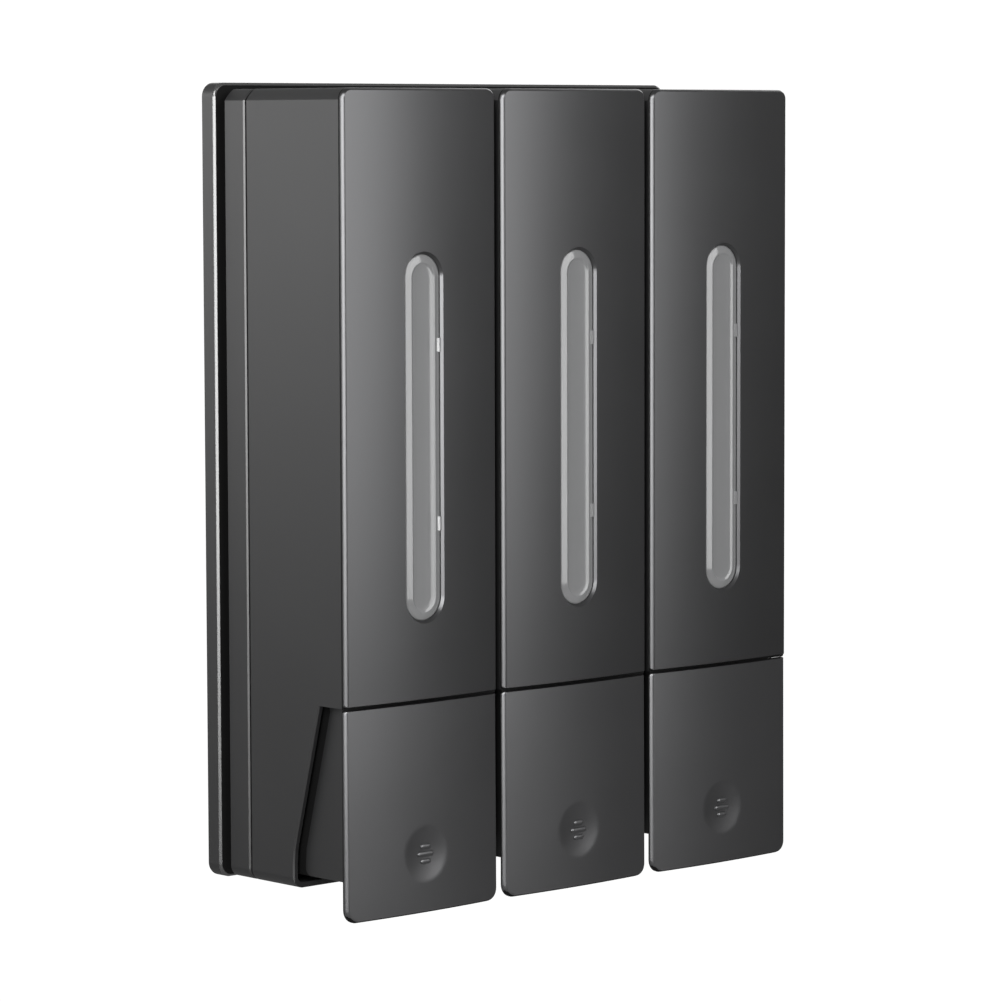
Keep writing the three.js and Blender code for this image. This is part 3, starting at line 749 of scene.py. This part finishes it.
def rear_shell(unit):
    """Shallow back tray with a mounting pad, hook slots, a screw hole and the pump's socket."""
    x = unit_x(unit)
    back, front = REAR_BACK, rear_low.y
    stations = ((0.4, back), (0.0, back - 0.4), (0.0, front + SEAM), (SEAM, front))
    tray = shell_body(f"rear_tray_{unit}", x, stations)
    cavity = prism("cavity", shell_outline(x, 2.0), "y", back - 2.0, front - 5)
    cut(tray, cavity)
    pad = block("pad", x - 22, x + 22, back - 0.6, rear_high.y, -95, 95)
    ring = [(11.3, -16), (13.2, -16), (13.2, back - 1.5), (11.3, back - 1.5)]
    join(tray, pad, lathe("socket", ring, (x, 0, -90), "y"))
    slots = [block("slot", x - 5.5, x + 5.5, -10.8, 0, z - 6, z + 3.3) for z in HOOK_HEIGHTS]
    screw_hole = prism("hole", circle(1.75, (x, -62), 32), "y", 0, -12)
    cut(tray, screw_hole, *slots)
    smooth(tray, 30)
    even_normals(tray)
    finish_piece(tray, "dark_plastic", "root", f"rear_shell_{unit}")
    repaint(tray, SATIN_EDGE, lambda at, out: front < at.y < front + SEAM and -0.8 < out.y < -0.6)
    return tray


def casing_cutters(x, front):
    """What the casing's block loses: its inside, the lever's cut-out, window, flap well and outlet."""
    left, right = x - LID_OPENING_HALF, x + LID_OPENING_HALF
    above = shell_high.z + 2
    return (
        prism("cavity", shell_outline(x, HOUSING_WALL), "y", 0, front + 1.8),
        prism("low_front", cutout_outline(), "x", x - 40, x + 40),
        prism("window", slot_outline(-2, x), "y", CLEAR_FRONT, -50),
        block("lid_well", left, right, lid_low.y - 0.4, LID_HINGE_Y, 113, above),
        block("lid_relief", left, right, LID_HINGE_Y - 1, LID_HINGE_Y + 2.7, LID_HINGE_Z, above),
        prism("hinge_well", circle(2.7, (LID_HINGE_Y, LID_HINGE_Z)), "x", left, right),
        prism("finger_notch", circle(7.0, (x, lid_low.y + 3.6)), "z", 116.9, above),
        prism("outlet", circle(5.6, (x, OUTLET_Y)), "z", -125, -110),
    )


def cutout_outline():
    """Side view of what the casing leaves free for the lever, as (y, z) points."""
    return [(CLEAR_FRONT, SPLIT_Z), *CUTOUT, (CLEAR_FRONT, CLEAR_BELOW)]


def side_span(x, side, start, end):
    """Lowest and highest x of a stretch to one side of a unit's middle line."""
    return sorted((x + side * start, x + side * end))


def housing(unit):
    """Main casing: side, top and bottom walls, the window wall, the tank shelf and the pin bosses."""
    x = unit_x(unit)
    back, front = shell_high.y, shell_low.y
    step = back - SEAM_GROOVE
    stations = ((0.8, back), (0.8, step), (0.0, step), (0.0, front + 0.4), (0.4, front))
    body = shell_body(f"casing_{unit}", x, stations)
    cut(body, *casing_cutters(x, front))
    inner = SHELL_HALF - HOUSING_WALL + 0.6
    shelf = block("shelf", x - inner, x + inner, -48, back - 2, -52, -50)
    cut(shelf, prism("way", circle(6.0, (x, OUTLET_Y)), "z", -55, -45))
    additions, bores, chamfers = [shelf], [], []
    for side in (-1, 1):
        additions.append(
            prism("boss", circle(3.4, (PIVOT_Y, PIVOT_Z)), "x", *side_span(x, side, 26.8, inner))
        )
        near, far = side_span(x, side, LID_OPENING_HALF, inner - 0.5)
        additions.append(block("ear", near, far, LID_HINGE_Y - 2.5, LID_HINGE_Y + 2.5, 113.2, 116.3))
        pivot_bore = circle(PIVOT_BORE, (PIVOT_Y, PIVOT_Z), 32)
        bores.append(prism("bore", pivot_bore, "x", *side_span(x, side, 0, 28.9)))
        hinge_bore = circle(LID_BORE, (LID_HINGE_Y, LID_HINGE_Z), 24)
        bores.append(prism("bore", hinge_bore, "x", *side_span(x, side, 20, 26.7)))
        levels = (
            (x + side * (SHELL_HALF + 0.5), CUT_CHAMFER + 0.5),
            (x + side * (SHELL_HALF - CUT_CHAMFER), 0.0),
        )
        chamfers.append([[(px, y + shift, z) for y, z in cutout_outline()] for px, shift in levels])
    join(body, *additions)
    cut(body, *bores)
    for rings in chamfers:
        cut(body, flared("edge", rings))
    smooth(body, 30)
    even_normals(body)
    skin_back = carrier(x, push_high.z + 0.06, panel_high.z - 0.1, 0.5, 3.2)
    cut(skin_back, prism("window", slot_outline(0.1, x), "y", CLEAR_FRONT, -50))
    merge_meshes(body, [skin_back])
    finish_piece(body, "dark_plastic", "root", f"housing_{unit}")
    # Painted shade: the carrier's faces in front of the casing and the seam groove's faces go near-black
    shaded_groove_y = back - SEAM_GROOVE / 2
    repaint(body, PAINTED_SHADE_BLACK, lambda at, out: at.y < front - 0.02 or abs(at.y - shaded_groove_y) < 0.1)
    return body


def fill_lid(unit):
    """Filler flap: a plate with a hinge bead and a plug that sits over the tank's neck."""
    x = unit_x(unit)
    top = shell_high.z
    left, right = x - LID_HALF, x + LID_HALF
    outline = rounded_rectangle(left, right, lid_low.y, LID_HINGE_Y, 1.0, 6)
    lid = prism(f"filler_flap_{unit}", outline, "z", top - 2, top)
    bead = prism("bead", circle(2.0, (LID_HINGE_Y, top - 2)), "x", left, right)
    plug = prism("plug", rounded_rectangle(x - 14, x + 14, -48.5, -30.5, 3.0), "z", top - 4, top - 1.5)
    join(lid, bead, plug)
    cut(lid, prism("bore", circle(LID_BORE, (LID_HINGE_Y, top - 2), 24), "x", left - 1, right + 1))
    bevel(lid, 0.3, 3)
    return finish_piece(lid, "dark_plastic", f"lid_{unit}", f"fill_lid_{unit}")


def lever_rear(z):
    """Depth at which the side walls begin to curl in: always inside the casing, behind its cut edge."""
    above_foot = z - (lever_low.z + 0.5 + LEVER_FOOT)
    if above_foot < 0:
        inside = CUTOUT[-1][0] + LEVER_COVER - LEVER_FOOT
        return inside + math.sqrt(max(LEVER_FOOT**2 - above_foot**2, 0.0))
    return cut_depth(z) + LEVER_COVER


def cut_depth(z):
    """Depth of the casing's cut edge at a height."""
    for (upper_y, upper_z), (lower_y, lower_z) in zip(CUTOUT, CUTOUT[1:]):
        if z >= lower_z:
            return lower_y + (upper_y - lower_y) * (z - lower_z) / (upper_z - lower_z)
    return CUTOUT[-1][0]


def lever_plan(x, rear):
    """Plan of the lever at one height: a channel, open to the rear, whose sides end in inward curls."""
    face = lever_low.y
    outer, inner = [], []
    for i in range(5):
        turn = math.radians(90 * i / 4)
        across = LEVER_HALF - LEVER_CORNER + LEVER_CORNER * math.sin(turn)
        outer.append((across, face + LEVER_CORNER - LEVER_CORNER * math.cos(turn)))
    # A station where the side walls' painted shade begins
    outer.append((LEVER_HALF, max(rear - LEVER_COVER - SHADE_MARGIN, face + 1.5)))
    inner.append((LEVER_HALF - LEVER_WALL, face + LEVER_WALL))
    start = max(rear - 0.5, face + LEVER_WALL + 0.5)
    for i in range(9):
        turn = math.radians(85 * i / 8)
        for path, radius in ((outer, LEVER_CURL), (inner, LEVER_CURL - LEVER_WALL)):
            across = LEVER_HALF - LEVER_CURL + radius * math.cos(turn)
            path.append((across, start + radius * math.sin(turn)))
    right = outer + inner[::-1]
    left = [(-px, py) for px, py in right[::-1]]
    return [(x + px, py) for px, py in right + left]


def push_lever(unit):
    """The tray behind the push panel: a front wall, curled side walls and two ears round the pivot."""
    x = unit_x(unit)
    face, bottom = lever_low.y, lever_low.z
    levels = [bottom + 0.5 + LEVER_FOOT * i / 6 for i in range(7)]
    levels += [-111.9, -107.4, -102.6, -96, -90, -84, -78, -72, SPLIT_Z - 0.6]
    plans = [[(px, py, z) for px, py in lever_plan(x, lever_rear(z))] for z in levels]
    tray = flared(f"lever_tray_{unit}", plans)
    ear = [(-53.4, -72.0), (-51.6, -68.0), (-50.8, SPLIT_Z)]
    for i in range(17):
        turn = math.radians(180 * i / 16)
        ear.append((PIVOT_Y + 4 * math.cos(turn), PIVOT_Z + 4 * math.sin(turn)))
    ear += [(PIVOT_Y - 4, -63.5), (face + 1.5, -65.0), (face + 1.5, -72.0)]
    ears = []
    ribs = []
    for side in (-1, 1):
        ears.append(prism("ear", ear, "x", *side_span(x, side, LEVER_HALF - LEVER_WALL, LEVER_HALF)))
        middle = x + side * 11
        ribs.append(block("rib", middle - 0.7, middle + 0.7, face + 1.5, face + 5.5, -114, -68))
    pad = prism("pad", circle(5.0, (x, -90)), "y", face + 1.5, face + 2.7)
    join(tray, *ears, pad, *ribs)
    cut(tray, prism("bore", circle(PIVOT_BORE, (PIVOT_Y, PIVOT_Z), 32), "x", x - 30, x + 30))
    smooth(tray, 30)
    even_normals(tray)
    merge_meshes(tray, [carrier(x, push_low.z + 0.02, push_high.z - 0.1, PUSH_CORNERS[0], 0.5)])
    finish_piece(tray, "dark_plastic", f"lever_{unit}", f"push_lever_{unit}")

    # Painted shade: the carrier's front faces and the side walls near and behind the casing's cut edge
    # go near-black
    def in_shade(at, out):
        return at.y < face - 0.02 or at.y > cut_depth(at.z) - SHADE_MARGIN / 2

    repaint(tray, PAINTED_SHADE_BLACK, in_shade)
    return tray


def tank(unit):
    """Refillable tank with soft corners, an open filler neck and an outlet spigot."""
    x = unit_x(unit)
    low, high = tank_low, tank_high
    half = (high.x - low.x) / 2
    base, shoulder = -49.7, 104.0
    wall = 1.6

    def plan(inset, corner):
        return rounded_rectangle(
            x - half + inset, x + half - inset, low.y + inset, high.y - inset, corner, 8
        )

    def neck(inset):
        half_width = 18 - inset
        return rounded_rectangle(
            x - half_width, x + half_width, -51.5 + inset, -27.5 - inset, 4 - inset, 8
        )

    stations = (
        (1.6, base), (0.5, base + 0.5), (0.0, base + 1.6), (0.0, shoulder - 1.6), (0.5, shoulder - 0.5),
        (1.6, shoulder),
    )
    rings = [[(px, py, z) for px, py in plan(inset, 5.0 - inset * 0.8)] for inset, z in stations]
    body = flared(f"soap_tank_{unit}", rings)
    join(
        body,
        prism("neck", neck(0), "z", shoulder - 1, 112),
        prism("spigot", circle(5.2, (x, OUTLET_Y)), "z", -58, base + 1),
    )
    cut(
        body,
        prism("hollow", plan(wall, 3.6), "z", base + wall, shoulder - wall),
        prism("mouth", neck(wall), "z", shoulder - 4, 115),
        prism("drain", circle(3.4, (x, OUTLET_Y)), "z", -60, base + 4),
    )
    smooth(body, 30)
    return finish_piece(body, "frosted_plastic", "root", f"tank_{unit}")


def nozzle(unit):
    """Outlet with a stepped flange and a rounded, slightly flared lip."""
    x = unit_x(unit)
    tip = nozzle_low.z
    flange, seat, top = -110.3, -108.3, -103.3
    profile = [
        (2.0, tip + 0.5), (2.3, tip + 0.1), (2.8, tip), (3.3, tip + 0.15), (3.6, tip + 0.6),
        (3.75, tip + 1.6), (4.5, tip + 4.4), (4.6, tip + 5.2), (4.6, flange - 0.3), (4.9, flange),
        (7.3, flange), (7.5, flange + 0.2), (7.5, seat - 0.2), (7.3, seat), (5.3, seat),
        (5.3, top - 0.3), (5.0, top), (2.0, top),
    ]
    piece = lathe(f"outlet_{unit}", profile, (x, OUTLET_Y, 0))
    smooth(piece, 35)
    return finish_piece(piece, "dark_plastic", "root", f"nozzle_{unit}")


def spring(unit):
    """Return spring inside the pump: a coil with flat ends, drawn at one length; the real spring
    shortens as the piston goes in.
    """
    x = unit_x(unit)
    low, high = box_mm(f"pump_spring_{unit}")
    z = (low.z + high.z) / 2
    first, last = low.y + SPRING_WIRE, high.y - SPRING_WIRE
    end_rise = 2 * SPRING_WIRE * END_TURN  # what a flat end turn takes up, wire on wire
    open_length = last - first - 2 * end_rise
    steps = int(SPRING_TURNS * 24)
    rings = []
    for step in range(steps + 1):
        turn = SPRING_TURNS * step / steps
        at_start = min(turn, END_TURN)
        at_end = max(turn - SPRING_TURNS + END_TURN, 0.0)
        share = min(max((turn - END_TURN) / (SPRING_TURNS - 2 * END_TURN), 0.0), 1.0)
        y = first + open_length * share + 2 * SPRING_WIRE * (at_start + at_end)
        angle = 2 * math.pi * turn
        out = Vector((math.cos(angle), 0.0, math.sin(angle)))
        centre = Vector((x, y, z)) + out * SPRING_COIL
        section = circle(SPRING_WIRE * 0.98, points=12)
        rings.append([centre + out * dx + Vector((0.0, dy, 0.0)) for dx, dy in section])
    coil = flared(f"return_spring_{unit}", rings)
    smooth(coil, 50)
    finish_piece(coil, "steel", "root", f"pump_spring_{unit}")
    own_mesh(coil)
    return coil


wall_plate()
for unit in UNITS:
    rear_shell(unit)
    housing(unit)
    front_panel(unit)
    window_lens(unit)
    tank(unit)
    fill_lid(unit)
    push_lever(unit)
    push_panel(unit)
    nozzle(unit)
    spring(unit)


# ---------------------------------------------------------------- CAD nodes that stay
def dress_cad_nodes():
    """Gives every CAD node its slot's procedural material."""
    slots = {row["node"]: row["material_slot"] for row in frame["record"]["subparts"]}
    for name, node in frame["nodes"].items():
        node.data.materials.clear()
        node.data.materials.append(MATERIALS[slots[name]])


dress_cad_nodes()


# ---------------------------------------------------------------- camera, light and floor
# Metres and degrees
CAMERA_PLACE = (-0.9042, -1.0051, 0.1064)
CAMERA_YAW, CAMERA_PITCH, CAMERA_ROLL = 42.80, 4.98, -0.17
CAMERA_LENS = 154.0  # on a 36 mm wide sensor
AMBIENT = 0.33
PAPER_WHITE = 1.05  # a little over 1, so that the background stays clean white
FLOOR_DROP = 0.45


def camera():
    """Long lens from the left, a little lower than the dispenser's top, tilted slightly down."""
    yaw, pitch, roll = (math.radians(a) for a in (CAMERA_YAW, CAMERA_PITCH, CAMERA_ROLL))
    flat = math.cos(pitch)
    forward = Vector((math.sin(yaw) * flat, math.cos(yaw) * flat, -math.sin(pitch)))
    right = forward.cross(Vector((0, 0, 1))).normalized()
    up = right.cross(forward)
    level_right = right * math.cos(roll) + up * math.sin(roll)
    level_up = up * math.cos(roll) - right * math.sin(roll)
    turn = Matrix((level_right, level_up, -forward)).transposed().to_4x4()
    data = bpy.data.cameras.new("camera")
    data.sensor_width = 36.0
    data.lens = CAMERA_LENS
    data.clip_start = 0.05
    data.clip_end = 60.0
    obj = bpy.data.objects.new("camera", data)
    obj.matrix_world = Matrix.Translation(Vector(CAMERA_PLACE)) @ turn
    bpy.context.scene.collection.objects.link(obj)
    bpy.context.scene.camera = obj


def direction(azimuth, elevation):
    """Azimuth 0 is straight in front of the dispenser, and it grows to the right as seen from there."""
    a, e = math.radians(azimuth), math.radians(elevation)
    return Vector((math.sin(a) * math.cos(e), -math.cos(a) * math.cos(e), math.sin(e)))


def softbox(name, azimuths, elevations, distance, radiance):
    """An evenly bright rectangle over a range of azimuths and elevations, as seen from the dispenser."""
    azimuth, elevation = sum(azimuths) / 2, sum(elevations) / 2
    width = 2 * distance * math.tan(math.radians(azimuths[1] - azimuths[0]) / 2)
    height = 2 * distance * math.tan(math.radians(elevations[1] - elevations[0]) / 2)
    data = bpy.data.lights.new(name, "AREA")
    data.shape = "RECTANGLE"
    data.size = width * math.cos(math.radians(elevation))
    data.size_y = height
    data.energy = radiance * math.pi * data.size * data.size_y
    obj = bpy.data.objects.new(name, data)
    toward = direction(azimuth, elevation)
    obj.location = toward * distance
    obj.rotation_euler = toward.to_track_quat("Z", "Y").to_euler()
    obj.visible_camera = False
    bpy.context.scene.collection.objects.link(obj)


def lights():
    """Key light in front, a narrow bright strip at the left, and weaker lights at the side and back."""
    softbox("key_softbox", (-10, 36), (-8, 42), 1.6, 3.5)
    softbox("left_strip", (-62, -42), (-8, 38), 1.5, 10.5)
    softbox("back_left_softbox", (-150, -115), (-1, 24), 1.2, 3.2)
    softbox("right_fill", (95, 150), (-3, 35), 1.5, 1.8)
    softbox("rear_fill", (172, 208), (-3, 30), 1.5, 1.2)
    world = bpy.data.worlds.new("studio")
    bpy.context.scene.world = world
    world.use_nodes = True
    tree = world.node_tree
    dim = tree.nodes["Background"]
    dim.inputs["Color"].default_value = (1, 1, 1, 1)
    dim.inputs["Strength"].default_value = AMBIENT
    white = tree.nodes.new("ShaderNodeBackground")
    white.inputs["Color"].default_value = (1, 1, 1, 1)
    white.inputs["Strength"].default_value = PAPER_WHITE
    show_white(tree, dim.outputs["Background"], white.outputs["Background"], tree.nodes["World Output"])


def show_white(tree, lit, white, output):
    """Shows the camera plain white, while everything else meets the dimmer lit surface."""
    path = tree.nodes.new("ShaderNodeLightPath")
    choose = tree.nodes.new("ShaderNodeMixShader")
    tree.links.new(path.outputs["Is Camera Ray"], choose.inputs["Fac"])
    tree.links.new(lit, choose.inputs[1])
    tree.links.new(white, choose.inputs[2])
    tree.links.new(choose.outputs["Shader"], output.inputs["Surface"])


def floor():
    """A pale studio floor well below the dispenser, which hangs above it as on a wall."""
    bm = bmesh.new()
    bmesh.ops.create_grid(bm, x_segments=8, y_segments=8, size=40000)
    plane = new_object("studio_floor", bm)
    plane.location.z = cad_bounds[0][2] - FLOOR_DROP
    material = bpy.data.materials.new("pale_floor")
    material.use_nodes = True
    nodes, links = material.node_tree.nodes, material.node_tree.links
    shader = nodes["Principled BSDF"]
    shader.inputs["Roughness"].default_value = 0.9
    paper = nodes.new("ShaderNodeTexNoise")
    paper.inputs["Scale"].default_value = 3.0
    tint = nodes.new("ShaderNodeMix")
    tint.data_type = "RGBA"
    tint.inputs["A"].default_value = (0.26, 0.26, 0.26, 1)
    tint.inputs["B"].default_value = (0.30, 0.30, 0.30, 1)
    links.new(paper.outputs["Fac"], tint.inputs["Factor"])
    links.new(tint.outputs["Result"], shader.inputs["Base Color"])
    white = nodes.new("ShaderNodeEmission")
    white.inputs["Color"].default_value = (1, 1, 1, 1)
    white.inputs["Strength"].default_value = PAPER_WHITE
    show_white(
        material.node_tree, shader.outputs["BSDF"], white.outputs["Emission"], nodes["Material Output"]
    )
    plane.data.materials.append(material)


camera()
lights()
floor()
bpy.context.scene.view_settings.view_transform = "Standard"
